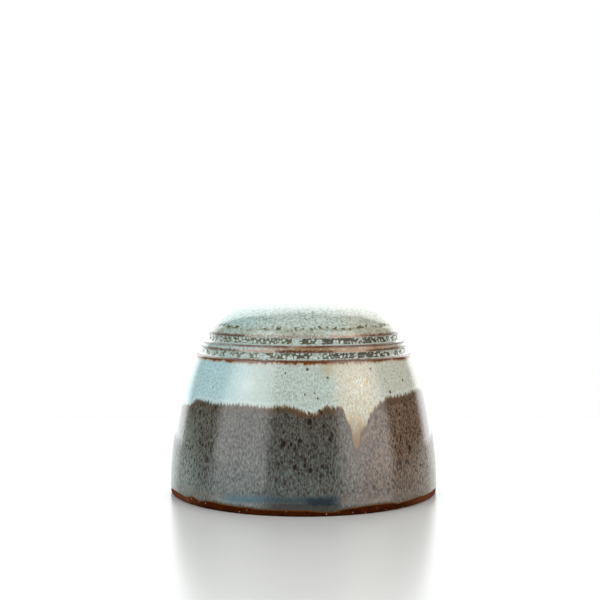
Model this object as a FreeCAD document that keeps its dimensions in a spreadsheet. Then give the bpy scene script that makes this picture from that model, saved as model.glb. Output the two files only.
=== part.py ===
# Domed stoneware yarn bowl with a lift-off ringed lid.
# Millimetres, +Z up, origin at the centre of the foot on the table.

import FreeCAD, Part
import math
import os
import Sketcher

# Driving dimensions, each with what it measures.
SIZES = {
    "foot_radius": (75.0, "outside of the wall at the foot"),
    "curve_start": (4.0, "height where the wall begins to lean in"),
    "rim_radius": (61.3, "outside of the rim's brown edge"),
    "rim_height": (76.9, "height of the rim's brown edge"),
    "wall": (6.0, "thickness of the bowl's wall"),
    "floor": (7.0, "height of the inside floor"),
    "floor_corner": (10.0, "inside round between floor and wall"),
    "foot_edge": (1.2, "round of the foot's outer edge"),
    "recess_inset": (9.0, "width of the foot ring"),
    "recess_depth": (1.5, "depth of the hollow inside the foot ring"),
    "lip_width": (1.2, "width of the rim's sloping top"),
    "lip_rise": (0.5, "rise of the rim's top over its brown edge"),
    "gallery_depth": (2.7, "depth of the lid's seat below the brown edge"),
    "gallery_slope": (1.6, "how far the gallery narrows on its way down"),
    "ledge_width": (5.0, "width of the ledge that carries the lid"),
    "ledge_thickness": (4.0, "thickness of the ledge at its inner edge"),
    "ledge_flare": (6.0, "height of the slope under the ledge"),
    "ledge_round": (1.0, "round of the ledge's inner edges"),
    "lid_gap": (0.35, "running gap between the lid and the gallery"),
    "lid_wall": (5.0, "thickness of the lid's dome"),
    "lid_foot": (5.5, "width of the lid's flat seat"),
    "ring_step": (1.9, "ring set in from the lid's lowest edge"),
    "ring_taper": (0.5, "lean of the ring's face"),
    "ring_height": (3.3, "height of the ring"),
    "cap_step": (4.4, "cap set in from the ring"),
    "band_height": (2.2, "height of each chattered band"),
    "band_undercut": (0.6, "how far each band leans in under its edge"),
    "cove_height": (1.8, "height of the cove below each band"),
    "cove_curve": (5.0, "radius of the coves"),
    "shoulder_curve": (28.0, "radius of the dome's shoulder"),
    "shoulder_drop": (11.3, "shoulder's centre below the cap's edge"),
    "crown_rise": (4.6, "crown over the top of the shoulder's curve"),
    "inner_corner": (2.0, "round at the top of the lid's inside skirt"),
    "yarn_hole_radius": (6.0, "hole in the crown that the yarn runs through"),
    "yarn_hole_round": (1.5, "round of the yarn hole's edges"),
    "edge_softness": (0.35, "round of the lid's brown edges"),
}
SHEET = "Sizes"
PARTS_FOLDER = "parts"
NEAR = 1e-4


class Length:
    """A length with its number and the sheet expression that it is bound to."""

    def __init__(self, number, text):
        self.number = number
        self.text = text

    def __add__(self, other):
        return Length(self.number + other.number, f"{self.text} + {other.text}")

    def __sub__(self, other):
        return Length(self.number - other.number, f"{self.text} - ({other.text})")


class Section:
    """Half of a thrown form, drawn right of the Z axis as one closed outline."""

    def __init__(self, body, name):
        self.sketch = body.newObject("Sketcher::SketchObject", name)
        self.sketch.AttachmentSupport = [(plane_of(body, "XZ_Plane"), "")]
        self.sketch.MapMode = "FlatFace"
        self.first = None
        self.home = None
        self.here = None
        self.last = None

    def start(self, across, up, solved=None):
        self.first = (across, up)
        self.home = self.known(across, up, solved)
        self.here = self.home

    def line(self, across, up, solved=None):
        """Straight to a point. A coordinate of None is solved, and solved says about where."""
        begin, end = self.spot(self.here), self.spot(self.known(across, up, solved))
        index = self.sketch.addGeometry(Part.LineSegment(begin, end), False)
        return self.joined(index, across, up, solved)

    def arc(self, across, up, centre, clockwise, solved=None, smooth=False):
        """A round stretch to a point, about a centre that is only a first guess."""
        begin, end = self.spot(self.here), self.spot(self.known(across, up, solved))
        middle = FreeCAD.Vector(centre[0], centre[1], 0)
        turn = [math.atan2((p - middle).y, (p - middle).x) for p in (begin, end)]
        if clockwise:
            turn.reverse()
        circle = Part.Circle(middle, FreeCAD.Vector(0, 0, 1), (begin - middle).Length)
        index = self.sketch.addGeometry(Part.ArcOfCircle(circle, *turn), False)
        return self.joined(index, across, up, solved, clockwise, smooth)

    def joined(self, index, across, up, solved, clockwise=False, smooth=False):
        """Ties a new stretch to the one before it and its end to the sheet."""
        begin_end = (2, 1) if clockwise else (1, 2)
        if self.last:
            kind = "Tangent" if smooth else "Coincident"
            self.tie(kind, *self.last, index, begin_end[0])
        else:
            self.place(index, begin_end[0], *self.first)
            self.first = (index, begin_end[0])
        self.last = (index, begin_end[1])
        self.place(index, begin_end[1], across, up)
        self.here = self.known(across, up, solved)
        return index

    def close(self):
        """Straight back to the first point."""
        line = Part.LineSegment(self.spot(self.here), self.spot(self.home))
        index = self.sketch.addGeometry(line, False)
        self.tie("Coincident", *self.last, index, 1)
        self.tie("Coincident", index, 2, *self.first)

    def place(self, index, point, across, up):
        """Ties a point's distance from the axis and its height to the sheet."""
        for kind, along, axis in (("DistanceX", across, -2), ("DistanceY", up, -1)):
            if along is None:
                continue
            if along.text == "0":
                self.tie("PointOnObject", index, point, axis)
            else:
                self.bind(along, kind, -1, 1, index, point)

    def tie(self, kind, *items):
        self.sketch.addConstraint(Sketcher.Constraint(kind, *items))

    def bind(self, length, kind, *items):
        number = self.sketch.addConstraint(Sketcher.Constraint(kind, *items, length.number))
        self.sketch.setExpression(f"Constraints[{number}]", length.text)

    @staticmethod
    def known(across, up, solved):
        """The point with its first guesses filled in."""
        guesses = solved or (0, 0)
        return tuple(
            Length(guess, "") if given is None else given
            for given, guess in zip((across, up), guesses)
        )

    @staticmethod
    def spot(point):
        return FreeCAD.Vector(point[0].number, point[1].number, 0)


def make_sheet(document):
    sheet = document.addObject("Spreadsheet::Sheet", SHEET)
    for row, (alias, (value, note)) in enumerate(SIZES.items(), start=1):
        sheet.set(f"A{row}", alias)
        sheet.set(f"B{row}", str(value))
        sheet.setAlias(f"B{row}", alias)
        sheet.set(f"C{row}", note)
    return sheet


def size(alias):
    return Length(SIZES[alias][0], f"{SHEET}.{alias}")


def plane_of(body, role):
    return next(plane for plane in body.Origin.OriginFeatures if plane.Role == role)


def make_body(document, label):
    body = document.addObject("PartDesign::Body", label)
    body.Label = label
    return body


def revolve(body, sketch, name):
    turned = body.newObject("PartDesign::Revolution", name)
    turned.Profile = sketch
    turned.ReferenceAxis = (sketch, ["V_Axis"])
    turned.Angle = 360
    sketch.Visibility = False
    body.Document.recompute()
    return turned


def cut_round(body, name, radius, depth):
    """A round pocket on the axis, upwards from the table."""
    sketch = body.newObject("Sketcher::SketchObject", name + "_circle")
    sketch.AttachmentSupport = [(plane_of(body, "XY_Plane"), "")]
    sketch.MapMode = "FlatFace"
    circle = Part.Circle(FreeCAD.Vector(0, 0, 0), FreeCAD.Vector(0, 0, 1), radius.number)
    sketch.addGeometry(circle, False)
    sketch.addConstraint(Sketcher.Constraint("Coincident", 0, 3, -1, 1))
    number = sketch.addConstraint(Sketcher.Constraint("Radius", 0, radius.number))
    sketch.setExpression(f"Constraints[{number}]", radius.text)
    before = body.Shape.Volume
    pocket = body.newObject("PartDesign::Pocket", name)
    pocket.Profile = sketch
    pocket.Reversed = True
    pocket.setExpression("Length", depth.text)
    body.Document.recompute()
    if body.Shape.Volume > before - 1:
        raise RuntimeError(f"{name} cut nothing")
    return pocket


def circles_at(shape, places):
    """Names of the round edges at these (radius, height) pairs."""
    found = []
    for radius, height in places:
        for number, edge in enumerate(shape.Edges, start=1):
            curve = edge.Curve
            if not isinstance(curve, Part.Circle):
                continue
            if abs(curve.Radius - radius) < NEAR and abs(curve.Center.z - height) < NEAR:
                found.append(f"Edge{number}")
    return found


def round_off(body, name, base, places, radius):
    edges = circles_at(base.Shape, places)
    if len(edges) != len(places):
        raise RuntimeError(f"{name} found {len(edges)} of {len(places)} edges")
    fillet = body.newObject("PartDesign::Fillet", name)
    fillet.Base = (base, edges)
    fillet.setExpression("Radius", radius.text)
    body.Document.recompute()
    return fillet


ZERO = Length(0.0, "0")


def gallery():
    """Radii and heights that the bowl's gallery and the lid share."""
    lip = size("rim_radius") - size("lip_width")
    return {
        "lip": lip,
        "lip_top": size("rim_height") + size("lip_rise"),
        "wall_foot": lip - size("gallery_slope"),
        "mouth": lip - size("gallery_slope") - size("ledge_width"),
        "seat": size("rim_height") - size("gallery_depth"),
    }


def wall_curve():
    """Radius of the wall's outside, upright where the curve starts and through the rim's edge."""
    rise = size("rim_height") - size("curve_start")
    lean = size("foot_radius") - size("rim_radius")
    number = (rise.number**2 + lean.number**2) / (2 * lean.number)
    return Length(number, f"(({rise.text})^2 + ({lean.text})^2) / (2 * ({lean.text}))")


def dome_curve(cap):
    """Radius of the crown, tangent to the shoulder, and how far out the shoulder's centre is."""
    shoulder = size("shoulder_curve")
    rise = size("crown_rise")
    drop = size("shoulder_drop")
    across = math.sqrt(shoulder.number**2 - drop.number**2)
    across_text = f"sqrt({shoulder.text}^2 - {drop.text}^2)"
    out = cap - Length(across, across_text)
    over = shoulder + rise
    number = (out.number**2 + over.number**2 - shoulder.number**2) / (2 * rise.number)
    text = f"(({out.text})^2 + ({over.text})^2 - {shoulder.text}^2) / (2 * {rise.text})"
    return Length(number, text), out.number


def make_bowl(document):
    body = make_body(document, "bowl")
    seat = gallery()
    curve = wall_curve()
    inner_curve = curve - size("wall")
    under_ledge = seat["seat"] - size("ledge_thickness")
    flare_foot = under_ledge - size("ledge_flare")
    centre = (SIZES["foot_radius"][0] - curve.number, SIZES["curve_start"][0])

    def inner_radius(height):
        rise = height.number - centre[1]
        return centre[0] + math.sqrt(inner_curve.number**2 - rise**2)

    section = Section(body, "bowl_section")
    section.start(ZERO, ZERO)
    section.line(size("foot_radius"), ZERO)
    section.line(size("foot_radius"), size("curve_start"))
    outside = section.arc(size("rim_radius"), size("rim_height"), centre, False)
    section.line(seat["lip"], seat["lip_top"])
    section.line(seat["wall_foot"], seat["seat"])
    section.line(seat["mouth"], seat["seat"])
    section.line(seat["mouth"], under_ledge)
    flare = (inner_radius(flare_foot), flare_foot.number)
    section.line(None, flare_foot, flare)
    corner = (inner_radius(size("floor")), size("floor").number)
    inside = section.arc(None, size("floor"), centre, True, corner)
    section.line(ZERO, size("floor"))
    section.close()
    section.bind(size("curve_start"), "DistanceY", -1, 1, outside, 3)
    section.tie("Coincident", outside, 3, inside, 3)
    section.bind(inner_curve, "Radius", inside)

    thrown = revolve(body, section.sketch, "thrown_wall")
    recess_radius = size("foot_radius") - size("recess_inset")
    recess = cut_round(body, "foot_recess", recess_radius, size("recess_depth"))
    corner_radius = section.sketch.Geometry[inside].StartPoint.x
    floor = round_off(
        body, "floor_round", recess, [(corner_radius, size("floor").number)], size("floor_corner")
    )
    ledge = round_off(
        body,
        "ledge_round",
        floor,
        [
            (seat["mouth"].number, seat["seat"].number),
            (seat["mouth"].number, under_ledge.number),
        ],
        size("ledge_round"),
    )
    foot_edges = [
        (size("foot_radius").number, 0),
        (recess_radius.number, 0),
    ]
    body.Tip = round_off(body, "foot_round", ledge, foot_edges, size("foot_edge"))
    return body


def make_lid(document):
    body = make_body(document, "lid")
    seat = gallery()
    rim_edge = seat["lip"] - size("lid_gap")
    foot = seat["wall_foot"] - size("lid_gap")
    ring = rim_edge - size("ring_step")
    ring_top_radius = ring - size("ring_taper")
    cap = ring - size("cap_step")
    low_band_foot = seat["lip_top"] + size("cove_height")
    ring_bottom = low_band_foot + size("band_height")
    ring_top = ring_bottom + size("ring_height")
    high_band_foot = ring_top + size("cove_height")
    cap_edge = high_band_foot + size("band_height")
    shoulder_centre = cap_edge - size("shoulder_drop")
    apex = shoulder_centre + size("shoulder_curve") + size("crown_rise")
    skirt = foot - size("lid_foot")

    # First guesses for where the two tangent arcs of the dome meet.
    crown_curve, across = dome_curve(cap)
    thickness = SIZES["lid_wall"][0]
    crown_at = FreeCAD.Vector(0, apex.number - crown_curve.number, 0)
    shoulder_at = FreeCAD.Vector(across, shoulder_centre.number, 0)
    toward = (shoulder_at - crown_at).normalize()
    outer_join = crown_at + toward * crown_curve.number
    inner_join = crown_at + toward * (crown_curve.number - thickness)
    inner_drop = high_band_foot.number - shoulder_at.y
    inner_shoulder = SIZES["shoulder_curve"][0] - thickness
    inner_edge = across + math.sqrt(inner_shoulder**2 - inner_drop**2)
    hole = size("yarn_hole_radius")
    outer_hole, inner_hole = (
        crown_at.y + math.sqrt(radius**2 - hole.number**2)
        for radius in (crown_curve.number, crown_curve.number - thickness)
    )

    def cove_centre(begin, end):
        """Centre of a hollow arc between two (radius, height) points, on its outer upper side."""
        a, b = (FreeCAD.Vector(p[0].number, p[1].number, 0) for p in (begin, end))
        half = (b - a) * 0.5
        away = FreeCAD.Vector(-half.y, half.x, 0).normalize()
        reach = math.sqrt(SIZES["cove_curve"][0] ** 2 - half.Length**2)
        return tuple(a + half + away * reach)[:2]

    low_foot = (ring - size("band_undercut"), low_band_foot)
    high_foot = (cap - size("band_undercut"), high_band_foot)

    section = Section(body, "lid_section")
    section.start(hole, None, (0, outer_hole))
    join = tuple(outer_join)[:2]
    crown = section.arc(None, None, tuple(crown_at)[:2], True, join)
    shoulder = section.arc(cap, cap_edge, tuple(shoulder_at)[:2], True, smooth=True)
    section.line(*high_foot)
    high_cove = section.arc(
        ring_top_radius, ring_top, cove_centre(high_foot, (ring_top_radius, ring_top)), False
    )
    section.line(ring, ring_bottom)
    section.line(*low_foot)
    low_cove = section.arc(
        rim_edge, seat["lip_top"], cove_centre(low_foot, (rim_edge, seat["lip_top"])), False
    )
    section.line(foot, seat["seat"])
    section.line(skirt, seat["seat"])
    section.line(skirt, ring_bottom)
    section.line(None, high_band_foot, (inner_edge, high_band_foot.number))
    inner = tuple(inner_join)[:2]
    under_shoulder = section.arc(None, None, tuple(shoulder_at)[:2], False, inner)
    under_crown = section.arc(
        hole, None, tuple(crown_at)[:2], False, (0, inner_hole), smooth=True
    )
    section.close()

    section.tie("PointOnObject", crown, 3, -2)
    section.bind(crown_curve, "Radius", crown)
    section.bind(size("shoulder_curve"), "Radius", shoulder)
    section.bind(shoulder_centre, "DistanceY", -1, 1, shoulder, 3)
    section.tie("Coincident", under_shoulder, 3, shoulder, 3)
    section.tie("Coincident", under_crown, 3, crown, 3)
    section.bind(size("shoulder_curve") - size("lid_wall"), "Radius", under_shoulder)
    section.bind(size("cove_curve"), "Radius", high_cove)
    section.bind(size("cove_curve"), "Radius", low_cove)

    thrown = revolve(body, section.sketch, "thrown_dome")
    brown_edges = [
        (cap.number, cap_edge.number),
        (ring_top_radius.number, ring_top.number),
        (ring.number, ring_bottom.number),
        (rim_edge.number, seat["lip_top"].number),
    ]
    softened = round_off(body, "brown_edges", thrown, brown_edges, size("edge_softness"))
    inner = round_off(
        body, "skirt_round", softened, [(skirt.number, ring_bottom.number)], size("inner_corner")
    )
    hole_edges = [(hole.number, outer_hole), (hole.number, inner_hole)]
    body.Tip = round_off(body, "yarn_hole_round", inner, hole_edges, size("yarn_hole_round"))
    return body


def check(document, bodies):
    """Stops before anything is written if a feature failed or a piece isn't a sound solid."""
    for item in document.Objects:
        if "Invalid" in item.State or "Error" in item.State:
            raise RuntimeError(f"{item.Label} failed: {item.State}")
    for body in bodies:
        shape = body.Shape
        if shape.isNull() or not shape.isValid() or len(shape.Solids) != 1:
            raise RuntimeError(f"{body.Label} is not one sound solid")


def export(bodies):
    os.makedirs(PARTS_FOLDER, exist_ok=True)
    for body in bodies:
        body.Shape.exportStep(os.path.join(PARTS_FOLDER, body.Label + ".step"))
        box = body.Shape.optimalBoundingBox()
        print(
            f"{body.Label}: {body.Shape.Volume / 1000:.1f} cm3, {box.XLength:.1f} wide, "
            f"{box.ZMin:.2f} to {box.ZMax:.2f} high"
        )


def main():
    document = FreeCAD.newDocument("YarnBowl")
    make_sheet(document)
    document.recompute()
    bodies = [make_bowl(document), make_lid(document)]
    document.recompute()
    check(document, bodies)
    export(bodies)


main()
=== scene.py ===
import math
from types import SimpleNamespace

import bmesh
import bpy
from mathutils import Matrix, Vector, noise


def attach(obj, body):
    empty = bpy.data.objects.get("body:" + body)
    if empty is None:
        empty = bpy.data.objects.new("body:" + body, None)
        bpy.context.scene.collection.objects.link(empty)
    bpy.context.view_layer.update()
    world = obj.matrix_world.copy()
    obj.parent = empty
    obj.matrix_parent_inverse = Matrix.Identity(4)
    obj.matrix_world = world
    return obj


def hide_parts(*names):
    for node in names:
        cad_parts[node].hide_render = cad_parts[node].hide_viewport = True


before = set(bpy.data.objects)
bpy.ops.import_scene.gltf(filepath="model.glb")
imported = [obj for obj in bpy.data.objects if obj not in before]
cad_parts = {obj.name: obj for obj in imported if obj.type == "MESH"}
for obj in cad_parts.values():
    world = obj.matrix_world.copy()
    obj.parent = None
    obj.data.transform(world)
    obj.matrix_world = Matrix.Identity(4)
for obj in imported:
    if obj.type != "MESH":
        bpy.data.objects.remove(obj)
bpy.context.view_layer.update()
print("frame loaded")

mm = 0.001
outside, bareClay, inside = 0.0, 1.0, 2.0


# Turned forms

class Outline:
    # half of a turned form as (radius, height) points in mm; the clay lies on the left of its way
    def __init__(self, radius, height, zone):
        self.points = [Vector((radius, height))]
        self.zones = [zone]
        self.zone = zone

    def add(self, point):
        self.points.append(point)
        self.zones.append(self.zone)

    def line(self, radius, height, steps=1):
        start, end = self.points[-1], Vector((radius, height))
        for i in range(1, steps + 1):
            self.add(start.lerp(end, i / steps))

    def arc(self, radius, height, curve, steps, hollow=False):
        side = -1 if hollow else 1
        start, end = self.points[-1], Vector((radius, height))
        half = (end - start) / 2
        reach = math.sqrt(max(curve**2 - half.length_squared, 0))
        centre = start + half + Vector((-half.y, half.x)).normalized() * reach * side
        first = math.atan2(start.y - centre.y, start.x - centre.x)
        turn = 2 * math.asin(min(1, half.length / curve)) * side
        for i in range(1, steps + 1):
            angle = first + turn * i / steps
            self.add(centre + Vector((math.cos(angle), math.sin(angle))) * curve)


def turned(outline, segments, closed):
    # one turn of the outline round Z, in mm: a sixteenth is spun, then doubled four times
    bm = bmesh.new()
    zone = bm.verts.layers.float.new("zone")
    chain = []
    for point, kind in zip(outline.points, outline.zones):
        v = bm.verts.new((point.x, 0, point.y))
        v[zone] = kind
        chain.append(v)
    for a, b in zip(chain, chain[1:]):
        bm.edges.new((a, b))
    if closed:
        bm.edges.new((chain[-1], chain[0]))
    share = math.tau / 16
    bmesh.ops.spin(
        bm, geom=bm.verts[:] + bm.edges[:], cent=(0, 0, 0), axis=(0, 0, 1), dvec=(0, 0, 0),
        angle=share, steps=segments // 16, use_merge=False, use_duplicate=False,
    )
    for turn in (share, share * 2, share * 4, share * 8):
        made = bmesh.ops.duplicate(bm, geom=bm.verts[:] + bm.edges[:] + bm.faces[:])["geom"]
        copied = [item for item in made if isinstance(item, bmesh.types.BMVert)]
        bmesh.ops.rotate(bm, cent=(0, 0, 0), matrix=Matrix.Rotation(turn, 3, "Z"), verts=copied)
    bmesh.ops.remove_doubles(bm, verts=bm.verts[:], dist=0.002)
    bmesh.ops.recalc_face_normals(bm, faces=bm.faces[:])
    bm.normal_update()
    return bm


def finishPiece(bm, name, material):
    bmesh.ops.scale(bm, vec=(mm, mm, mm), verts=bm.verts[:])
    mesh = bpy.data.meshes.new(name)
    bm.to_mesh(mesh)
    bm.free()
    mesh.shade_smooth()
    mesh.materials.append(material)
    piece = bpy.data.objects.new(name, mesh)
    bpy.context.scene.collection.objects.link(piece)
    return piece


def around(v):
    # angle round the pot in degrees, 0 towards the camera and 90 towards +X
    return math.degrees(math.atan2(v.co.x, -v.co.y))


def along(table, angle):
    # value at an angle, straight between the table's rows
    for (a, low), (b, high) in zip(table, table[1:]):
        if angle <= b:
            return low + (high - low) * (angle - a) / (b - a)
    return table[-1][1]


def ease(value, low, high):
    t = min(1, max(0, (value - low) / (high - low)))
    return t * t * (3 - 2 * t)


def drift(angle, pace, seed):
    # slow noise that closes up after one turn
    a = math.radians(angle)
    return noise.noise(Vector((math.cos(a) * pace, math.sin(a) * pace, seed)))


# Node helpers: a socket is linked, anything else becomes the input's own value

def put(tree, kind, inputs=None, **settings):
    made = tree.nodes.new(kind)
    for key, value in settings.items():
        setattr(made, key, value)
    for key, value in (inputs or {}).items():
        if isinstance(value, bpy.types.NodeSocket):
            tree.links.new(value, made.inputs[key])
        else:
            made.inputs[key].default_value = value
    return made


def sums(tree, operation, a, b=0.0, c=0.0):
    return put(tree, "ShaderNodeMath", {0: a, 1: b, 2: c}, operation=operation).outputs[0]


def plus(tree, a, b):
    return sums(tree, "ADD", a, b)


def minus(tree, a, b):
    return sums(tree, "SUBTRACT", a, b)


def most(tree, a, b):
    return sums(tree, "MAXIMUM", a, b)


def absolute(tree, value):
    return sums(tree, "ABSOLUTE", value)


def times(tree, *values):
    product = values[0]
    for value in values[1:]:
        product = sums(tree, "MULTIPLY", product, value)
    return product


def rise(tree, value, low, high, toLow=0.0, toHigh=1.0):
    # smooth step from low to high
    inputs = {0: value, 1: low, 2: high, 3: toLow, 4: toHigh}
    return put(tree, "ShaderNodeMapRange", inputs, interpolation_type="SMOOTHSTEP").outputs[0]


def between(tree, value, low, high, soft):
    # 1 from low to high, with soft ends
    up = rise(tree, value, low - soft, low + soft)
    return times(tree, up, rise(tree, value, high - soft, high + soft, 1, 0))


def blend(tree, factor, a, b, kind="MIX"):
    made = put(tree, "ShaderNodeMix", {0: factor}, data_type="RGBA", blend_type=kind)
    for index, value in ((6, a), (7, b)):
        if isinstance(value, bpy.types.NodeSocket):
            tree.links.new(value, made.inputs[index])
        else:
            made.inputs[index].default_value = (*value, 1)
    return made.outputs[2]


def blendValue(tree, factor, a, b):
    return put(tree, "ShaderNodeMix", {0: factor, 2: a, 3: b}, data_type="FLOAT").outputs[0]


def scaled(tree, vector, x, y, z):
    inputs = {0: vector, 1: (x, y, z)}
    return put(tree, "ShaderNodeVectorMath", inputs, operation="MULTIPLY").outputs[0]


def grain(tree, vector, scale, detail=2.0, rough=0.5):
    inputs = {"Vector": vector, "Scale": scale, "Detail": detail, "Roughness": rough}
    return put(tree, "ShaderNodeTexNoise", inputs).outputs[0]


def spots(tree, vector, size, share, soft=0.35):
    # round spots of about that size, in this share of the cells
    made = put(tree, "ShaderNodeTexVoronoi", {"Vector": vector, "Scale": 1.0, "Randomness": 1.0})
    pick = put(tree, "ShaderNodeSeparateColor", {0: made.outputs["Color"]})
    reach = times(tree, rise(tree, pick.outputs[1], 0, 1, 0.5, 1), size)
    near = sums(tree, "DIVIDE", made.outputs["Distance"], reach)
    near = rise(tree, near, 1 - soft, 1 + soft, 1, 0)
    return times(tree, near, sums(tree, "LESS_THAN", pick.outputs[0], share))


def attribute(tree, name):
    return put(tree, "ShaderNodeAttribute", attribute_name=name).outputs["Fac"]


def angleCurve(tree, angle, table, low, high):
    # a line through the rows (angle, height) of the table
    first, last = table[0][0], table[-1][0]
    ends = {0: angle, 1: first, 2: last, 3: 0.0, 4: 1.0}
    share = put(tree, "ShaderNodeMapRange", ends).outputs[0]
    curve = put(tree, "ShaderNodeFloatCurve", {0: 1.0, 1: share})
    line = curve.mapping.curves[0]
    rows = [((a - first) / (last - first), (h - low) / (high - low)) for a, h in table]
    line.points[0].location = rows[0]
    line.points[1].location = rows[-1]
    for row in rows[1:-1]:
        line.points.new(*row)
    for point in line.points:
        point.handle_type = "AUTO_CLAMPED"
    curve.mapping.update()
    return sums(tree, "MULTIPLY_ADD", curve.outputs[0], high - low, low)


def potCoordinates(tree):
    # position in mm, radius, height and the angle round the pot in degrees
    place = put(tree, "ShaderNodeTexCoord").outputs["Object"]
    place = scaled(tree, place, 1 / mm, 1 / mm, 1 / mm)
    parts = put(tree, "ShaderNodeSeparateXYZ", {0: place}).outputs
    flat = put(tree, "ShaderNodeCombineXYZ", {0: parts[0], 1: parts[1]}).outputs[0]
    radius = put(tree, "ShaderNodeVectorMath", {0: flat}, operation="LENGTH").outputs["Value"]
    angle = sums(tree, "ARCTAN2", parts[0], times(tree, parts[1], -1.0))
    return place, radius, parts[2], sums(tree, "DEGREES", angle)


def newMaterial(name):
    material = bpy.data.materials.new(name)
    material.use_nodes = True
    material.node_tree.nodes.clear()
    return material


# degrees over which one tone of glaze gives way to the next
toneSteps = {"left": (-50, -12), "right": (8, 40), "back": (120, 175)}
gloss = {"ior": 1.52, "rippleDepth": 0.06 * mm, "bowl": (0.07, 0.12), "lid": (0.07, 0.13)}


def leftCentreRight(tree, angle, left, centre, right):
    # the left tone comes back behind the pot
    colour = blend(tree, rise(tree, angle, *toneSteps["left"]), left, centre)
    colour = blend(tree, rise(tree, angle, *toneSteps["right"]), colour, right)
    return blend(tree, rise(tree, absolute(tree, angle), *toneSteps["back"]), colour, left)


def glazedShader(tree, colour, bare, place, ripple, rough, level=0.5):
    # glossy where glazed and dull where the clay is bare
    grit = times(tree, grain(tree, place, 3.0, 3), 3.0)
    bump = put(tree, "ShaderNodeBump", {
        "Strength": 1.0, "Distance": gloss["rippleDepth"], "Height": blendValue(tree, bare, ripple, grit),
    })
    shader = put(tree, "ShaderNodeBsdfPrincipled", {
        "Base Color": colour, "IOR": gloss["ior"], "Normal": bump.outputs[0],
        "Roughness": blendValue(tree, bare, rough, clay["roughness"]),
        "Specular IOR Level": blendValue(tree, bare, level, clay["shine"]),
    })
    tree.links.new(shader.outputs[0], put(tree, "ShaderNodeOutputMaterial").inputs[0])


# Bare clay, shared by both pieces

clay = {
    "body": (0.042, 0.007, 0.001), "dark": (0.022, 0.003, 0.0006), "toasted": (0.12, 0.050, 0.014),
    # side is a painted reflection: the clay drawn lighter towards the pot's sides
    "side": (0.11, 0.036, 0.016), "grog": (0.34, 0.25, 0.18), "roughness": 0.85, "shine": 0.02,
}


def clayColour(tree, place, angle):
    cloud, patch = grain(tree, place, 0.35, 3), grain(tree, place, 1.4, 2)
    colour = blend(tree, rise(tree, cloud, 0.35, 0.65), clay["body"], clay["dark"])
    # lighter towards the sides: a painted reflection of the bright surroundings at grazing angles
    colour = blend(tree, rise(tree, absolute(tree, angle), 42, 62, 0, 0.8), colour, clay["side"])
    colour = blend(tree, rise(tree, patch, 0.5, 0.8, 0, 0.3), colour, clay["toasted"])
    grog = spots(tree, scaled(tree, place, 0.45, 0.45, 0.45), 0.17, 0.35)
    return blend(tree, grog, colour, clay["grog"])


# Bowl

bowl = {
    "segments": 576,
    # sizes in mm; a pair is a radius and a height
    "halfWidth": 75.0, "widest": 74.97, "wallCurve": 200.8, "curveStart": 4.0,
    "footRadius": 74.55, "footRound": 1.2, "footRing": 67.4, "recess": 1.5,
    "rim": (61.3, 76.7), "lipTop": (60.25, 77.3), "lipRound": 0.75,
    "seat": 74.2, "galleryFoot": 58.5, "mouth": 53.5, "underSeat": (58.2, 65.6),
    "innerTop": (59.9, 63.0), "innerFoot": (68.9, 17.0), "innerCurve": 194.8,
    "floor": 7.0, "floorEdge": 58.98, "floorCurve": 10.0,
    "glazeThickness": 0.30, "glazeBead": 0.12, "wobble": 0.16,
    # lower edge of the glaze: angle and height
    "footLine": [
        (-180, 4.1), (-150, 3.6), (-120, 4.4), (-95, 3.7), (-77, 3.5), (-67, 4.1), (-60, 3.8), (-57, 3.5),
        (-52, 4.8), (-49.5, 4.3), (-46.5, 3.4), (-42, 4.4), (-32, 4.0), (-18, 3.3), (-12, 3.4), (1, 3.4),
        (5.6, 2.7), (12, 2.4), (14.4, 3.2), (18.5, 4.0), (28, 4.4), (38, 4.3), (41.3, 3.2), (46, 3.6),
        (53, 4.1), (61, 3.8), (69, 3.4), (90, 4.3), (115, 3.3), (140, 4.6), (160, 3.5), (180, 4.1),
    ],
}


def bowlOutline(s):
    o = Outline(0, s["recess"], bareClay)
    o.line(s["footRing"] - 2.8, s["recess"], 6)
    o.arc(s["footRing"] - 1.2, 1.1, 1.4, 3, hollow=True)
    o.arc(s["footRing"], 0, 1.3, 3)
    o.line(s["footRadius"] - s["footRound"], 0, 3)
    o.zone = outside
    o.arc(s["footRadius"], s["footRound"], s["footRound"], 4)
    o.arc(wallRadius(8) - 0.45, 8.0, s["wallCurve"], 22)
    o.arc(*s["rim"], s["wallCurve"], 62)
    o.arc(*s["lipTop"], s["lipRound"], 5)
    o.zone = bareClay
    o.line(s["galleryFoot"] + 0.3, s["seat"] + 0.3, 4)
    o.arc(s["galleryFoot"] - 0.2, s["seat"], 0.5, 2, hollow=True)
    o.line(s["mouth"] + 1, s["seat"], 3)
    o.arc(s["mouth"], s["seat"] - 1, 1, 4)
    o.line(s["mouth"], s["seat"] - 3, 1)
    o.zone = inside
    o.arc(s["mouth"] + 0.4, s["seat"] - 4.2, 1.2, 3)
    o.line(*s["underSeat"], 3)
    o.arc(*s["innerTop"], 6, 3, hollow=True)
    o.arc(*s["innerFoot"], s["innerCurve"], 20, hollow=True)
    o.arc(s["floorEdge"], s["floor"], s["floorCurve"], 8, hollow=True)
    o.line(0, s["floor"], 8)
    return o


def wallRadius(height):
    curve = bowl["wallCurve"]
    return math.sqrt(curve**2 - (height - bowl["curveStart"]) ** 2) - curve + bowl["halfWidth"]


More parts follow.
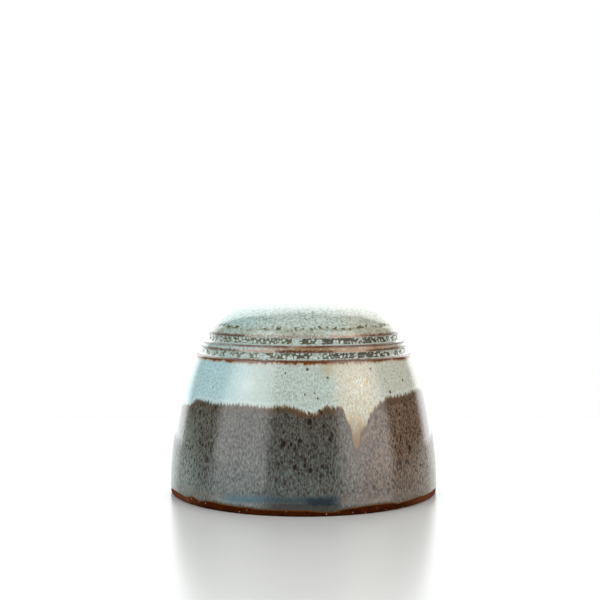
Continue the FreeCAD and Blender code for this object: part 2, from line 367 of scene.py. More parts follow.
def shapeBowl(s):
    bm = turned(bowlOutline(s), s["segments"], closed=False)
    zone = bm.verts.layers.float["zone"]
    overFoot = bm.verts.layers.float.new("overFoot")  # height above the glaze's lower edge
    for v in bm.verts:
        if v[zone] != outside:
            v[overFoot] = -5.0
            continue
        height, angle = v.co.z, around(v)
        over = height - along(s["footLine"], angle) - 0.25 * drift(angle, 9.0, 3.1)
        v[overFoot] = over
        coat = s["glazeThickness"] * ease(over, -0.1, 0.5)
        coat += s["glazeBead"] * ease(over, -0.1, 0.6) * (1 - ease(over, 0.6, 3.0))
        coat *= 1 - ease(height, 60, 76)
        wave = s["wobble"] * drift(angle, 1.2, height * 0.04)
        wave *= ease(height, 8, 25) * (1 - ease(height, 68, 76))
        v.co += v.normal * (coat + wave)
        reach = math.hypot(v.co.x, v.co.y)
        if reach > s["widest"]:
            v.co.xy *= s["widest"] / reach
    return bm


upperGlaze = {
    "left": (0.33, 0.485, 0.505), "centre": (0.362, 0.425, 0.385), "right": (0.415, 0.42, 0.35),
    "milky": (0.56, 0.64, 0.62), "olive": (0.22, 0.185, 0.085),
    "cream": (0.44, 0.43, 0.345), "ochre": (0.38, 0.26, 0.10), "tip": (0.17, 0.088, 0.030),
    "beige": (0.36, 0.31, 0.21), "stain": (0.17, 0.11, 0.045),
    "speck": (0.060, 0.022, 0.010), "edge": (0.105, 0.032, 0.009), "rust": (0.30, 0.18, 0.09),
}
lowerGlaze = {
    "left": (0.076, 0.073, 0.057), "centre": (0.056, 0.052, 0.044), "right": (0.100, 0.063, 0.040),
    "blue": (0.105, 0.140, 0.134), "grey": (0.110, 0.112, 0.094), "rose": (0.180, 0.120, 0.083),
    "brown": (0.030, 0.017, 0.012), "fringe": (0.082, 0.047, 0.026), "halo": (0.185, 0.135, 0.105),
    "ash": (0.135, 0.115, 0.096), "ashCool": (0.118, 0.140, 0.132),
    "edgeLight": (0.24, 0.275, 0.245), "edgeWarm": (0.27, 0.235, 0.19),
    "pool": (0.020, 0.090, 0.130), "poolMid": (0.012, 0.036, 0.046), "poolDeep": (0.001, 0.010, 0.018),
    "under": (0.030, 0.030, 0.025), "speck": (0.010, 0.005, 0.004),
}
# lower edge of the pale glaze and of the run in it: angle and height
dipLine = [
    (-180, 54.0), (-152, 50.5), (-120, 55.0), (-92, 52.0), (-65, 50.5), (-58.6, 53.3), (-53.4, 54.5),
    (-42.7, 54.0), (-32.6, 54.0), (-20, 53.9), (-14.4, 53.5), (-9.6, 54.4), (-2.7, 52.8), (4.6, 50.8),
    (9.6, 54.0), (15, 53.2), (24, 54.2), (35, 54.9), (41.6, 56.8), (52, 57.3), (68, 58.4), (95, 56.5),
    (122, 51.5), (150, 55.5), (180, 54.0),
]
runLine = [
    (10, 62.0), (15.2, 56.0), (17.1, 52.6), (17.9, 48.8), (19.2, 45.0), (20.0, 42.0), (20.3, 37.0),
    (20.9, 34.2), (21.8, 33.2), (22.7, 34.4), (23.4, 37.5), (24.1, 40.8), (27.1, 44.1), (29.1, 48.5),
    (32.2, 52.1), (35.7, 55.2), (42, 62.0),
]
darkDots = [
    # angle, height and radius
    (1.8, 73.3, 0.75), (11.1, 69.0, 0.55), (6.1, 58.8, 0.5), (0.6, 60.8, 0.45), (4.9, 61.5, 0.4),
    (-50.5, 65.3, 0.45), (-45.7, 62.5, 0.4), (33.7, 72.8, 0.6), (53.7, 65.4, 0.65), (42.5, 60.2, 0.75),
    (-8.4, 71.3, 0.45), (2.7, 23.4, 1.15), (8.4, 45.1, 0.75), (10.6, 38.8, 0.8), (-1.2, 38.2, 0.65),
    (-5.0, 36.1, 0.75), (-8.9, 38.6, 0.6), (33.9, 41.3, 0.8), (-22.6, 39.9, 0.8), (-35.8, 46.7, 0.8),
    (-48.7, 41.2, 0.65), (6.6, 52.8, 0.6), (2.4, 51.6, 0.6),
]


def placedDots(tree, place, rows, drawnOut=0.7):
    # dots drawn a little downwards, at places seen in the photo
    stretched = scaled(tree, place, 1, 1, drawnOut)
    found = 0.0
    for angle, height, size in rows:
        reach, turn = wallRadius(height), math.radians(angle)
        spot = (reach * math.sin(turn), -reach * math.cos(turn), height * drawnOut)
        away = put(tree, "ShaderNodeVectorMath", {0: stretched, 1: spot}, operation="DISTANCE")
        dot = rise(tree, away.outputs["Value"], size * 0.6, size * 1.25, 1, 0)
        found = most(tree, dot, found)
    return found


def bowlGrains(tree, place):
    # noises shared by the bowl's glazes, each drawn out downwards by its first value
    kinds = {
        "streaks": (0.32, 1.5, 3, 0.65), "threads": (0.08, 1.0, 3, 0.7), "broad": (0.3, 0.16, 2),
        "mottle": (0.45, 1.5, 3, 0.7), "hue": (0.35, 0.34, 2),
    }
    made = SimpleNamespace()
    for name, (drawnOut, *rest) in kinds.items():
        setattr(made, name, grain(tree, scaled(tree, place, 1, 1, drawnOut), *rest))
    return made


def meetingLine(tree, angle, grains):
    # height at which the pale glaze ends, and how far its threads stray from that
    dip = angleCurve(tree, angle, dipLine, 44, 64)
    run = angleCurve(tree, angle, runLine, 32, 64)
    beyond = rise(tree, absolute(tree, minus(tree, angle, 26)), 15.5, 16, 0, 40)
    line = sums(tree, "MINIMUM", dip, plus(tree, run, beyond))
    ragged = rise(tree, grains.threads, 0.35, 0.65, -0.1, 1.3)
    return line, plus(tree, ragged, rise(tree, grains.broad, 0.3, 0.7, -0.3, 0.3))


def paleGlaze(tree, height, angle, over, grains):
    # calmer a little to the left of the front
    u = upperGlaze
    pale = leftCentreRight(tree, angle, u["left"], u["centre"], u["right"])
    calm = between(tree, angle, -40, -15, 4)
    strong = rise(tree, grains.mottle, 0.34, 0.64, 1.20, 0.76)
    mild = rise(tree, grains.mottle, 0.36, 0.62, 1.07, 0.93)
    pale = blend(tree, 1.0, pale, blendValue(tree, calm, strong, mild), "MULTIPLY")
    pale = blend(tree, rise(tree, grains.streaks, 0.50, 0.72, 0, 0.35), pale, u["milky"])
    olive = times(tree, rise(tree, grains.mottle, 0.55, 0.66), rise(tree, grains.hue, 0.42, 0.6))
    pale = blend(tree, times(tree, olive, blendValue(tree, calm, 0.6, 0.2)), pale, u["olive"])
    pale = blend(tree, times(tree, between(tree, over, 0.4, 2.2, 0.5), 0.35), pale, u["milky"])
    beige = times(tree, between(tree, angle, 8, 34, 3), rise(tree, height, 67, 73, 0, 0.7))
    return blend(tree, beige, pale, u["beige"])


def creamRun(tree, pale, place, height, angle, ragged, grains):
    # the run of cream glaze, with rutile streaks and a brown tip
    u = upperGlaze
    aside = plus(tree, minus(tree, angle, 24.0), rise(tree, grains.threads, 0.3, 0.7, -1.5, 1.5))
    inRun = rise(tree, absolute(tree, aside), 8.0, 10.5, 1, 0)
    inRun = times(tree, inRun, rise(tree, height, 76, 68, 0.3, 1))
    cream = rise(tree, grains.mottle, 0.34, 0.64, 1.28, 0.66)
    cream = blend(tree, 1.0, u["cream"], cream, "MULTIPLY")
    pale = blend(tree, times(tree, inRun, 0.9), pale, cream)
    rutile = rise(tree, grain(tree, scaled(tree, place, 1, 1, 0.045), 0.75), 0.44, 0.66, 0, 0.8)
    strand = absolute(tree, minus(tree, aside, rise(tree, height, 40, 72, -1.5, 5.0)))
    rutile = times(tree, rutile, rise(tree, strand, 1.5, 5.5, 1, 0.35))
    rutile = times(tree, rutile, inRun, rise(tree, height, 74, 66, 0.3, 1))
    pale = blend(tree, rutile, pale, u["ochre"])
    tip = times(tree, inRun, rise(tree, plus(tree, height, ragged), 37, 53, 0.95, 0))
    return blend(tree, tip, pale, u["tip"])


def darkGlaze(tree, height, angle, over, grains):
    w = lowerGlaze
    dark = leftCentreRight(tree, angle, w["left"], w["centre"], w["right"])
    beforeBack = rise(tree, angle, 165, 115)

    # ashy low down, most of all at the sides
    fromFront = absolute(tree, minus(tree, angle, 1))
    sideways = plus(tree, rise(tree, fromFront, 12, 22, 0.1, 0.6), rise(tree, fromFront, 46, 58, 0, 0.4))
    ashy = times(tree, rise(tree, height, 30, 12), sideways, rise(tree, grains.hue, 0.3, 0.6, 0.5, 1))
    ash = blend(tree, times(tree, rise(tree, angle, -5, 10), beforeBack), w["ashCool"], w["ash"])
    dark = blend(tree, ashy, dark, ash)

    # light and brown streaks, and a paler patch on either side
    cool = blend(tree, rise(tree, height, 48, 14), w["grey"], w["blue"])
    light = blend(tree, times(tree, rise(tree, angle, 12, 34), beforeBack), cool, w["rose"])
    dark = blend(tree, rise(tree, grains.streaks, 0.45, 0.66, 0, 0.9), dark, light)
    dark = blend(tree, rise(tree, grains.streaks, 0.50, 0.33, 0, 0.9), dark, w["brown"])
    left = times(tree, rise(tree, angle, -47, -60), rise(tree, angle, -100, -90), 0.42)
    left = times(tree, left, rise(tree, height, 50, 36))
    right = times(tree, rise(tree, angle, 48, 64), rise(tree, angle, 100, 90), 0.5)
    right = times(tree, right, rise(tree, height, 38, 28))
    patches = plus(tree, left, right)
    patchTone = blend(tree, rise(tree, angle, -10, 10), w["edgeLight"], w["edgeWarm"])
    dark = blend(tree, patches, dark, patchTone)
    strong = rise(tree, grains.mottle, 0.32, 0.66, 1.60, 0.46)
    mild = rise(tree, grains.mottle, 0.32, 0.66, 1.24, 0.74)
    shade = blendValue(tree, between(tree, angle, -14, 15, 2), strong, mild)
    dark = blend(tree, 1.0, dark, shade, "MULTIPLY")

    # a rosy halo beside the run, and a brown fringe under the pale glaze
    halo = times(tree, rise(tree, over, -9, -1, 0, 0.8), between(tree, angle, 24, 34, 3))
    dark = blend(tree, halo, dark, w["halo"])
    fringe = times(tree, rise(tree, over, -4.4, -1.8), rise(tree, grains.threads, 0.3, 0.55, 0.7, 1))
    fringe = times(tree, fringe, rise(tree, angle, -25, -5, 0.6, 1))
    return blend(tree, fringe, dark, w["fringe"])


def footBand(tree, dark, height, angle, grains):
    # glaze gathered above the foot, blue in front and behind, and thin dark glaze below it
    w = lowerGlaze
    level = plus(tree, height, rise(tree, grains.hue, 0.3, 0.7, -0.4, 0.4))
    level = plus(tree, level, rise(tree, absolute(tree, angle), 8, 34, 0, 1.6))
    band = times(tree, rise(tree, level, 6.3, 7.6), rise(tree, level, 12.0, 8.6))
    middle = times(tree, rise(tree, angle, -22, -8), rise(tree, angle, 16.5, 12.5))
    under = times(tree, rise(tree, level, 6.2, 7.6, 1, 0), most(tree, middle, 0.25))
    dark = blend(tree, times(tree, under, 0.85), dark, w["under"])
    dark = blend(tree, times(tree, band, 0.45), dark, w["ash"])
    blue = times(tree, rise(tree, angle, -38, -28), rise(tree, angle, 15.2, 12.8))
    blue = most(tree, blue, rise(tree, absolute(tree, angle), 100, 130, 0, 0.7))
    blue = times(tree, band, blue, rise(tree, grains.streaks, 0.3, 0.6, 0.95, 0.75))
    dark = blend(tree, blue, dark, blend(tree, middle, w["pool"], w["poolMid"]))
    deepest = plus(tree, angle, rise(tree, grains.streaks, 0.3, 0.7, -2, 2))
    deepest = between(tree, deepest, 1.5, 12.5, 2.0)
    deepest = times(tree, deepest, rise(tree, level, 5.0, 6.4), rise(tree, level, 10.6, 8.2), 0.95)
    return blend(tree, deepest, dark, w["poolDeep"])


def bowlMaterial():
    material = newMaterial("bowlGlaze")
    tree = material.node_tree
    place, _, height, angle = potCoordinates(tree)
    grains = bowlGrains(tree, place)
    u, w = upperGlaze, lowerGlaze

    line, ragged = meetingLine(tree, angle, grains)
    over = minus(tree, height, plus(tree, line, ragged))
    dark = darkGlaze(tree, height, angle, over, grains)
    dark = footBand(tree, dark, height, angle, grains)
    pale = paleGlaze(tree, height, angle, over, grains)
    pale = creamRun(tree, pale, place, height, angle, ragged, grains)

    # the pale glaze breaks to brown where it thins out over the dark one
    thin = times(tree, rise(tree, over, 1.9, -0.3, 0, 0.8), rise(tree, grains.threads, 0.3, 0.6, 0.6, 1))
    pale = blend(tree, times(tree, thin, rise(tree, angle, -25, -5, 0.35, 1)), pale, u["stain"])

    # iron specks, drawn down by the dark glaze
    fine = spots(tree, scaled(tree, place, 0.60, 0.60, 0.32), 0.38, 0.65, 0.4)
    large = spots(tree, scaled(tree, place, 0.17, 0.17, 0.11), 0.21, 0.7, 0.4)
    few = spots(tree, scaled(tree, place, 0.17, 0.17, 0.17), 0.07, 0.35, 0.4)
    placed = placedDots(tree, place, darkDots)
    inDark = most(tree, times(tree, fine, 0.9), most(tree, large, placed))
    dark = blend(tree, times(tree, inDark, rise(tree, height, 9, 12, 0.3, 0.95)), dark, w["speck"])
    inPale = times(tree, most(tree, times(tree, few, 0.6), placed), 0.92)
    pale = blend(tree, inPale, pale, u["speck"])
    colour = blend(tree, rise(tree, over, -1.0, 0.8), dark, pale)

    # brown rim edge, coming down in drips
    drips = rise(tree, grains.threads, 0.35, 0.7, 0.3, -0.7)
    drips = plus(tree, drips, rise(tree, grains.broad, 0.3, 0.7, 0.3, -0.5))
    rimLevel = minus(tree, height, drips)
    colour = blend(tree, rise(tree, rimLevel, 75.0, 76.2, 0, 0.65), colour, u["rust"])
    colour = blend(tree, rise(tree, rimLevel, 76.0, 76.7), colour, u["edge"])

    # inside and bare clay
    zone, overFoot = attribute(tree, "zone"), attribute(tree, "overFoot")
    pooled = blend(tree, rise(tree, grains.broad, 0.35, 0.65), w["left"], w["blue"])
    pooled = blend(tree, fine, pooled, w["brown"])
    colour = blend(tree, rise(tree, zone, 1.3, 1.7), colour, pooled)
    notInside = rise(tree, zone, 1.3, 1.7, 1, 0)
    foot = times(tree, rise(tree, overFoot, -0.05, 0.2, 1, 0), rise(tree, height, 12, 13, 1, 0), notInside)
    bare = most(tree, foot, times(tree, rise(tree, zone, 0.3, 0.7), notInside))
    toasted = times(tree, rise(tree, overFoot, -0.75, -0.15), rise(tree, height, 12, 13, 0.9, 0))
    clayTone = blend(tree, toasted, clayColour(tree, place, angle), clay["toasted"])
    colour = blend(tree, bare, colour, clayTone)

    ripple = plus(tree, times(tree, grains.mottle, 0.5), times(tree, grains.streaks, 0.5))
    rough = rise(tree, grains.mottle, 0.3, 0.7, *gloss["bowl"])
    glazedShader(tree, colour, bare, place, ripple, rough)
    return material


bowlPiece = finishPiece(shapeBowl(bowl), "bowl_thrown", bowlMaterial())
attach(bowlPiece, "bowl")
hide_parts("bowl")
print("bowl made")


# Lid

lid = {
    "segments": 880,
    # sizes in mm; a pair is a radius and a height
    "seat": 74.2, "foot": 58.15, "low": (59.75, 77.35), "skirt": 52.65,
    "lowBand": (57.25, 79.2), "ringLow": (57.85, 81.4), "ringTop": (57.35, 84.7),
    "highBand": (52.85, 86.5), "cap": (53.45, 88.7), "coveCurve": 5.0,
    "shoulder": (48.3, 96.5), "shoulderCurve": 28.0, "shoulderCentre": (27.83, 77.4),
    "join": (36.84, 103.91), "crownCurve": 114.5,
    "hole": 6.0, "holeTop": 109.65, "holeUnder": 104.75, "holeRound": 1.5,
    "wall": 5.0, "innerJoin": (35.2, 99.15), "innerShoulder": (49.0, 86.5), "innerFoot": (51.3, 83.3),
    "skirtTop": 79.6, "insideBelowCap": 52.0,
    "groove": 93.6, "grooveWidth": 0.7, "grooveDepth": 0.28, "wobble": 0.1,
}
# pressed marks: size of a bead, width of a crease as a share of it, depth, height of the row of marks,
# gap above it, height of the band that it lies on, and size of the worn patches
chatter = {
    "size": 1.9, "line": 0.40, "depth": 0.36, "height": 3.1, "above": 0.25, "band": 2.2, "patch": 4.0,
}
# how far the brown reaches above and below each edge
edgeWidth = {"cap": (1.9, 0.2), "ringTop": (1.2, 1.5), "ringLow": (1.6, 0.4), "low": (0.5, 0.6)}
# the edge that lies nearest above each of these heights
edgeAbove = ((86.6, "cap"), (83.2, "ringTop"), (80.2, "ringLow"), (0, "low"))
edgePaint = {
    # strength and tone of the brown on each edge by angle; tone 0 is rose, a painted reflection of the side
    # lamps, and 1 brown
    "cap": (
        [(-180, 0.7), (-120, 0.8), (-70, 1), (-42, 1), (-35, 0.5), (-20, 0.4), (10, 0.4), (16, 0.45),
         (30, 0.5), (36, 0.9), (60, 1), (80, 0.8), (120, 0.5), (150, 0.8), (180, 0.7)],
        [(-180, 1), (-38, 1), (-32, 0.55), (0, 0.6), (12, 0.5), (17, 0.1), (31, 0.1), (37, 0.8), (60, 1),
         (180, 1)],
    ),
    "ringTop": (
        [(-180, 0.8), (-100, 0.6), (-58, 0.4), (-38, 0.55), (-32, 1), (-10, 0.9), (-6, 0.35), (-2, 0.5),
         (4, 1), (41, 1), (48, 0.7), (62, 0.6), (90, 0.9), (140, 0.6), (180, 0.8)],
        [(-180, 1), (-58, 0.8), (-32, 1), (-9, 0.9), (-4, 0.5), (4, 1), (180, 1)],
    ),
    "ringLow": (
        [(-180, 0.5), (-120, 0.9), (-62, 0.95), (-42, 0.7), (-33, 0.4), (-16, 0.4), (-12, 1), (15, 1),
         (18, 0.3), (33, 0.35), (37, 0.9), (60, 0.9), (100, 0.5), (150, 0.9), (180, 0.5)],
        [(-180, 1), (-40, 0.9), (-30, 0.15), (-16, 0.15), (-12, 1), (15, 1), (18, 0.05), (33, 0.1),
         (38, 1), (180, 1)],
    ),
    "low": ([(-180, 0.6), (180, 0.6)], [(-180, 0.8), (180, 0.8)]),
}
markWear = {
    # how strongly the marks are pressed, by angle
    "highBand": [
        (-180, 0.7), (-140, 0.5), (-90, 0.8), (-50, 0.75), (-25, 0.85), (-16, 1.05), (-8, 0.8), (8, 0.8),
        (15, 1.1), (52, 1.15), (60, 0.9), (100, 0.6), (150, 0.9), (180, 0.7),
    ],
    "lowBand": [
        (-180, 0.8), (-120, 0.6), (-60, 0.45), (-30, 0.7), (5, 0.75), (9, 1.05), (13, 0.75), (26, 0.8),
        (31, 1.15), (57, 1.1), (66, 0.8), (110, 0.9), (150, 0.6), (180, 0.8),
    ],
}


def lidOutline(s):
    o = Outline(s["foot"], s["seat"], bareClay)
    o.line(s["low"][0] - 0.1, s["low"][1] - 0.3, 4)
    o.zone = outside
    o.arc(s["low"][0] - 0.35, s["low"][1] + 0.02, 0.35, 2)
    o.arc(*s["lowBand"], s["coveCurve"], 8, hollow=True)
    o.line(s["ringLow"][0] - 0.05, s["ringLow"][1] - 0.25, 6)
    o.arc(s["ringLow"][0] - 0.03, s["ringLow"][1] + 0.25, 0.45, 2)
    o.line(s["ringTop"][0] + 0.03, s["ringTop"][1] - 0.3, 5)
    o.arc(s["ringTop"][0] - 0.3, s["ringTop"][1] + 0.02, 0.4, 3)
    o.arc(*s["highBand"], s["coveCurve"], 10, hollow=True)
    o.line(s["cap"][0] - 0.05, s["cap"][1] - 0.25, 6)
    o.arc(s["cap"][0] - 0.12, s["cap"][1] + 0.3, 0.45, 2)
    o.arc(*s["shoulder"], s["shoulderCurve"], 13)
    o.arc(*s["join"], s["shoulderCurve"], 7)
    o.arc(s["hole"] + s["holeRound"], s["holeTop"], s["crownCurve"], 10)
    o.arc(s["hole"], s["holeTop"] - s["holeRound"], s["holeRound"], 4)
    o.line(s["hole"], s["holeUnder"] + 1.55, 1)
    o.arc(s["hole"] + s["holeRound"], s["holeUnder"], s["holeRound"], 3)
    o.arc(*s["innerJoin"], s["crownCurve"] - s["wall"], 6, hollow=True)
    o.arc(*s["innerShoulder"], s["shoulderCurve"] - s["wall"], 6, hollow=True)
    o.line(*s["innerFoot"], 1)
    o.arc(s["skirt"], s["skirtTop"], 6, 2)
    o.zone = bareClay
    o.line(s["skirt"], s["seat"] + 0.4, 2)
    o.arc(s["skirt"] + 0.4, s["seat"], 0.4, 2)
    o.line(s["foot"] - 0.5, s["seat"], 2)
    return o


def chatterAt(place, wear, s):
    # depth of the pressed marks, 0 to 1: creases round small beads, narrow and faint where the wear is low
    near = noise.voronoi(place / s["size"])[0]
    crease = (near[1] - near[0]) / (0.4 + 0.6 * wear)
    patch = noise.noise(place / s["patch"] + Vector((5.2, 1.7, 9.4)))
    kept = 0.3 + 0.7 * ease(patch, -0.1 - wear * 0.3, 0.4 - wear * 0.4)
    return (1 - ease(crease, s["line"] * 0.3, s["line"])) * kept


def shapeLid(s):
    bm = turned(lidOutline(s), s["segments"], closed=True)
    zone = bm.verts.layers.float["zone"]
    mark, brown, tone = (bm.verts.layers.float.new(name) for name in ("mark", "brown", "tone"))
    for v in bm.verts:
        radius, height = math.hypot(v.co.x, v.co.y), v.co.z
        onCrown = radius < 30 or height > 100 and radius < 36
        if v[zone] != outside or onCrown or innerSide(radius, height, s):
            continue
        angle = around(v)
        edge = next(name for low, name in edgeAbove if height > low)
        v[brown] = along(edgePaint[edge][0], angle)
        # tone towards rose is a painted reflection of the side lamps
        v[tone] = along(edgePaint[edge][1], angle)
        for band in ("lowBand", "highBand"):
            top = s[band][1] + chatter["band"] - chatter["above"]
            share = (height - top) / chatter["height"] + 1
            if 0 < share < 1 and radius < s[band][0] + chatter["band"]:
                depth = chatterAt(v.co, along(markWear[band], angle), chatter) * ease(share, 0, 0.12)
                v[mark] = depth * ease(share, 1, 0.9)
                v.co -= v.normal * depth * chatter["depth"]
        if height > s["cap"][1] + 1:
            groove = math.exp(-(((height - s["groove"]) / s["grooveWidth"]) ** 2))
            v.co -= v.normal * groove * s["grooveDepth"] * (0.6 + 0.4 * drift(angle, 4, 1.0))
        v.co += v.normal * s["wobble"] * drift(angle, 1.5, height * 0.05) * ease(height, 78, 80)
    return bm


def innerSide(radius, height, s):
    # true on the lid's inside, by half of the wall's thickness
    if height < s["cap"][1]:
        return radius < s["insideBelowCap"]
    across, up = radius - s["shoulderCentre"][0], height - s["shoulderCentre"][1]
    return math.hypot(across, up) < s["shoulderCurve"] - s["wall"] / 2


# the cove colour is a painted highlight for the lid's coves
lidGlaze = {
    "left": (0.33, 0.45, 0.43), "centre": (0.385, 0.455, 0.42), "right": (0.40, 0.42, 0.355),
    "olive": (0.13, 0.135, 0.068), "mark": (0.045, 0.038, 0.020), "markPale": (0.105, 0.105, 0.045),
    "spot": (0.075, 0.066, 0.022),
    # the rose edge colour is a painted reflection of the side lamps
    "edge": (0.078, 0.022, 0.007), "edgeLampReflection": (0.36, 0.17, 0.095), "cove": (0.56, 0.62, 0.58),
    "ring": (0.25, 0.145, 0.070), "tan": (0.26, 0.245, 0.16),
}


def nearEdge(tree, radius, height, edge, reach, beads):
    # 1 at a turned edge, fading out raggedly above and below it
    above, below = reach
    up = minus(tree, height, rise(tree, beads, 0.3, 0.7, edge[1] - 0.45, edge[1] + 0.45))
    side = rise(tree, absolute(tree, minus(tree, radius, edge[0])), 1.2, 2.2, 1, 0)
    return times(tree, rise(tree, up, above * 0.4, above, 1, 0), rise(tree, up, -below, -below * 0.3), side)


def allEdges(tree, radius, height, beads):
    # every browned edge, as strong as its own paint says
    line = 0.0
    for edge, reach in edgeWidth.items():
        line = most(tree, nearEdge(tree, radius, height, lid[edge], reach, beads), line)
    strength = times(tree, attribute(tree, "brown"), rise(tree, beads, 0.38, 0.56, 0.35, 1.8))
    return times(tree, line, sums(tree, "MINIMUM", strength, 1.0))


def lidGround(tree, place, height, angle, mottle, cloud, hue):
    # mottled glaze, calmer and lighter on the crown as painted glare, and paler in the coves as a painted
    # highlight
    g = lidGlaze
    colour = leftCentreRight(tree, angle, g["left"], g["centre"], g["right"])
    strong, calm = rise(tree, mottle, 0.36, 0.62, 1.18, 0.76), rise(tree, mottle, 0.36, 0.62, 1.18, 1.02)
    # calmer, lighter and with fewer flecks towards the crown: painted glare, along with a thicker glaze on
    # the flat top
    shade = blendValue(tree, rise(tree, height, 102, 107.5), strong, calm)
    colour = blend(tree, 1.0, colour, shade, "MULTIPLY")
    flecks = times(tree, rise(tree, mottle, 0.53, 0.66), rise(tree, hue, 0.4, 0.58, 0.25, 1))
    flecks = times(tree, flecks, rise(tree, cloud, 0.4, 0.6, 0.4, 0.85))
    flecks = times(tree, flecks, rise(tree, height, 102, 107, 1, 0.15))
    colour = blend(tree, flecks, colour, g["olive"])
    # paler in the coves: a painted highlight of the bright surroundings reflected there
    coves = most(tree, between(tree, height, 77.5, 81.0, 0.3), between(tree, height, 84.9, 88.2, 0.3))
    colour = blend(tree, times(tree, coves, 0.3), colour, g["cove"])

    # tan below the dome's turned groove, and dark spots along it
    rowTint = times(tree, between(tree, height, 90.0, 93.8, 1.0), rise(tree, hue, 0.35, 0.6, 0.2, 0.55))
    colour = blend(tree, rowTint, colour, g["tan"])
    row = minus(tree, height, rise(tree, cloud, 0.3, 0.7, lid["groove"] - 0.6, lid["groove"] + 0.6))
    row = between(tree, row, -1.0, 1.0, 0.5)
    rowSpots = rise(tree, grain(tree, place, 0.38, 2, 0.6), 0.49, 0.56)
    rowSpots = times(tree, row, rowSpots, rise(tree, mottle, 0.35, 0.55, 0.5, 1))
    return blend(tree, rowSpots, colour, g["spot"])


def lidMaterial():
    material = newMaterial("lidGlaze")
    tree = material.node_tree
    place, radius, height, angle = potCoordinates(tree)
    g = lidGlaze
    mottle = grain(tree, scaled(tree, place, 1, 1, 0.8), 0.72, 3, 0.7)
    cloud = grain(tree, scaled(tree, place, 1, 1, 1.5), 0.09)
    hue = grain(tree, scaled(tree, place, 1, 1, 1.4), 0.30)
    colour = lidGround(tree, place, height, angle, mottle, cloud, hue)

    # brown face of the ring, strongest to the right of the front
    face = times(tree, between(tree, height, 81.5, 84.4, 0.3), rise(tree, radius, 56.5, 57))
    face = times(tree, face, rise(tree, hue, 0.3, 0.55, 0.5, 1), rise(tree, angle, -35, 0, 0.1, 0.95))
    face = times(tree, face, rise(tree, angle, 38, 50, 1, 0.45))
    face = times(tree, face, rise(tree, absolute(tree, angle), *toneSteps["back"], 1, 0.2))
    colour = blend(tree, face, colour, g["ring"])

    # darker in the pressed marks, darkest from the front round to the right
    marks = times(tree, attribute(tree, "mark"), rise(tree, mottle, 0.35, 0.6, 0.7, 1))
    darkest = times(tree, rise(tree, angle, -30, 25), rise(tree, angle, 165, 115))
    pressed = blend(tree, darkest, g["markPale"], g["mark"])
    colour = blend(tree, rise(tree, marks, 0.15, 0.55, 0, 0.95), colour, pressed)

    # the glaze breaks to brown over each edge; the rose in places is a painted reflection of the side lamps
    beads = grain(tree, scaled(tree, place, 1, 1, 0.6), 1.3, 3, 0.7)
    line = allEdges(tree, radius, height, beads)
    browningAndReflection = blend(tree, attribute(tree, "tone"), g["edgeLampReflection"], g["edge"])
    colour = blend(tree, line, colour, browningAndReflection)
    holeRim = times(tree, rise(tree, radius, 6.0, 6.8, 1, 0), rise(tree, height, 105, 107))
    colour = blend(tree, holeRim, colour, g["edge"])

    bare = rise(tree, attribute(tree, "zone"), 0.3, 0.7)
    colour = blend(tree, bare, colour, clayColour(tree, place, angle))
    rough = blendValue(tree, line, rise(tree, mottle, 0.3, 0.7, *gloss["lid"]), 0.32)
    glazedShader(tree, colour, bare, place, mottle, rough, blendValue(tree, line, 0.5, 0.22))
    return material


lidPiece = finishPiece(shapeLid(lid), "lid_thrown", lidMaterial())
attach(lidPiece, "lid")
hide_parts("lid")
print("lid made")


# Table, background, lamps and camera

table = {
    # sizes in metres
    "left": -0.9, "right": 0.9, "front": -1.1, "back": 0.30, "thickness": 0.02,
    "colour": (0.67, 0.675, 0.665), "shade": (0.645, 0.65, 0.64), "roughness": 0.22, "shine": 0.8,
}


def tableTop(s):
    bm = bmesh.new()
    bmesh.ops.create_cube(bm, size=1)
    size = Vector((s["right"] - s["left"], s["back"] - s["front"], s["thickness"]))
    bmesh.ops.scale(bm, vec=size, verts=bm.verts[:])
    down = s["thickness"] / 2 + 0.05 * mm
    centre = Vector(((s["left"] + s["right"]) / 2, (s["front"] + s["back"]) / 2, -down))
    bmesh.ops.translate(bm, vec=centre, verts=bm.verts[:])
    bmesh.ops.bevel(
        bm, geom=bm.edges[:], offset=2 * mm, affect="EDGES", segments=3, profile=0.5, material=-1,
    )
    mesh = bpy.data.meshes.new("table_top")
    bm.to_mesh(mesh)
    bm.free()
    material = newMaterial("paleTable")
    tree = material.node_tree
    place = put(tree, "ShaderNodeTexCoord").outputs["Object"]
    tone = blend(tree, grain(tree, place, 3.0, 2), s["colour"], s["shade"])
    dull = put(tree, "ShaderNodeBsdfDiffuse", {"Color": tone})
    shiny = put(tree, "ShaderNodeBsdfAnisotropic", {"Color": (1, 1, 1, 1), "Roughness": s["roughness"]})
    facing = times(tree, put(tree, "ShaderNodeFresnel", {"IOR": 1.45}).outputs[0], s["shine"])
    mixed = put(tree, "ShaderNodeMixShader", {0: facing, 1: dull.outputs[0], 2: shiny.outputs[0]})
    tree.links.new(mixed.outputs[0], put(tree, "ShaderNodeOutputMaterial").inputs[0])
    mesh.materials.append(material)
    top = bpy.data.objects.new("table_top", mesh)
    bpy.context.scene.collection.objects.link(top)


background = {
    # half of the wall's width in degrees, low down and higher up, and its strength in reflections
    "wallHalfAngles": (49.5, 40.5), "wall": 2.35, "wallLow": 2.6, "room": 0.12,
    "softWall": 1.7, "softRoom": 0.22,  # on dull surfaces
}


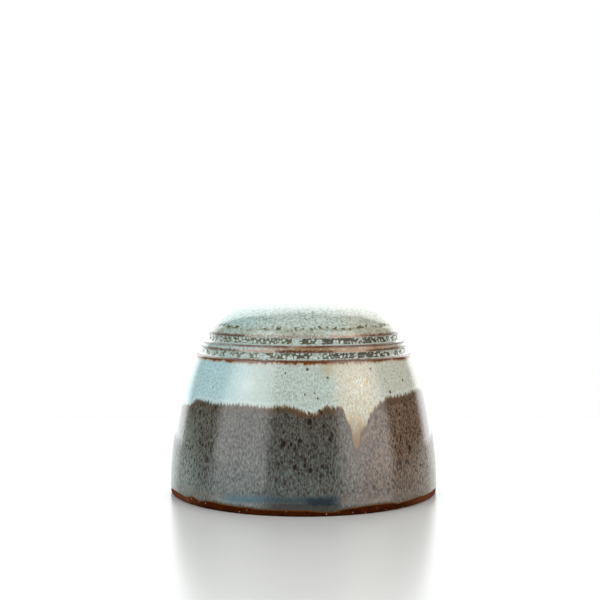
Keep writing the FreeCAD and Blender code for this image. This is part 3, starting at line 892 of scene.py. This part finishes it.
def makeWorld(s):
    # white for the camera; a bright wall behind the pot and a dim room for reflections
    world = bpy.data.worlds.new("studio")
    bpy.context.scene.world = world
    world.use_nodes = True
    tree = world.node_tree
    tree.nodes.clear()
    way = put(tree, "ShaderNodeTexCoord").outputs["Generated"]
    parts = put(tree, "ShaderNodeSeparateXYZ", {0: way}).outputs
    level = put(tree, "ShaderNodeCombineXYZ", {0: parts[0], 1: parts[1]}).outputs[0]
    flat = put(tree, "ShaderNodeVectorMath", {0: level}, operation="LENGTH").outputs["Value"]
    ahead = sums(tree, "DIVIDE", parts[1], most(tree, flat, 0.001))
    low, high = (math.cos(math.radians(angle)) for angle in s["wallHalfAngles"])
    wallEdge = rise(tree, parts[2], 0, 0.3, low, high)
    behind = rise(tree, minus(tree, ahead, wallEdge), -0.025, 0.025)
    upward = rise(tree, parts[2], 0.35, 0.65, 1, 1.35)
    overhead = rise(tree, parts[2], 0.82, 0.975, 1, 0.04)
    wall = times(tree, rise(tree, parts[2], 0.0, 0.2, s["wallLow"], s["wall"]), upward, overhead)
    seen = blendValue(tree, behind, s["room"], wall)
    light = put(tree, "ShaderNodeLightPath").outputs
    shown = most(tree, light["Is Camera Ray"], light["Is Transmission Ray"])
    diffuse = blendValue(tree, behind, s["softRoom"], s["softWall"])
    strength = blendValue(tree, light["Is Glossy Ray"], diffuse, seen)
    strength = blendValue(tree, shown, strength, 1.0)
    tint = blend(tree, light["Is Glossy Ray"], (1, 1, 1), (0.97, 1, 1))
    shader = put(tree, "ShaderNodeBackground", {"Color": tint, "Strength": strength})
    tree.links.new(shader.outputs[0], put(tree, "ShaderNodeOutputWorld").inputs[0])


lamps = {
    # angle from the camera, distance, height of the middle, width, height, power and shape
    "Softbox": (54, 0.95, 0.60, 0.86, 1.40, 11.3, "RECTANGLE"),
    "Glow": (56, 0.883, 0.462, 0.42, 0.30, 0.36, "ELLIPSE"),
    "Bulb": (56, 0.864, 0.454, 0.20, 0.11, 0.15, "ELLIPSE"),
}


def lampAt(name, angle, distance, middle, width, height, power, shape, tint):
    data = bpy.data.lights.new(name, "AREA")
    data.shape = shape
    data.size = width
    data.size_y = height
    data.energy = power
    data.color = tint
    lamp = bpy.data.objects.new(name, data)
    bpy.context.scene.collection.objects.link(lamp)
    way = Vector((math.sin(math.radians(angle)), -math.cos(math.radians(angle)), 0))
    lamp.location = way * distance + Vector((0, 0, middle))
    lamp.rotation_euler = way.to_track_quat("Z", "Y").to_euler()
    lamp.visible_camera = False


def makeLamps():
    for side, turn, tint in (("left", -1, (0.97, 1.0, 1.02)), ("right", 1, (1.02, 1.0, 0.96))):
        for kind, (angle, *rest) in lamps.items():
            lampAt(side + kind, turn * angle, *rest, tint)


view = {
    # metres, degrees down and pixels
    "distance": 0.640, "height": 0.1239, "tilt": 1.505,
    "frame": 600, "focalPixels": 1132.3, "axisAt": 303.5, "sensor": 36.0,
}


def makeCamera(s):
    data = bpy.data.cameras.new("camera")
    data.sensor_width = s["sensor"]
    data.lens = s["sensor"] * s["focalPixels"] / s["frame"]
    camera = bpy.data.objects.new("camera", data)
    bpy.context.scene.collection.objects.link(camera)
    camera.location = (0, -s["distance"], s["height"])
    aside = math.atan((s["axisAt"] - s["frame"] / 2) / s["focalPixels"])
    camera.rotation_euler = (math.radians(90 - s["tilt"]), 0, aside)
    bpy.context.scene.camera = camera


tableTop(table)
makeWorld(background)
makeLamps()
makeCamera(view)
bpy.context.scene.view_settings.view_transform = "Standard"
print("stage set")
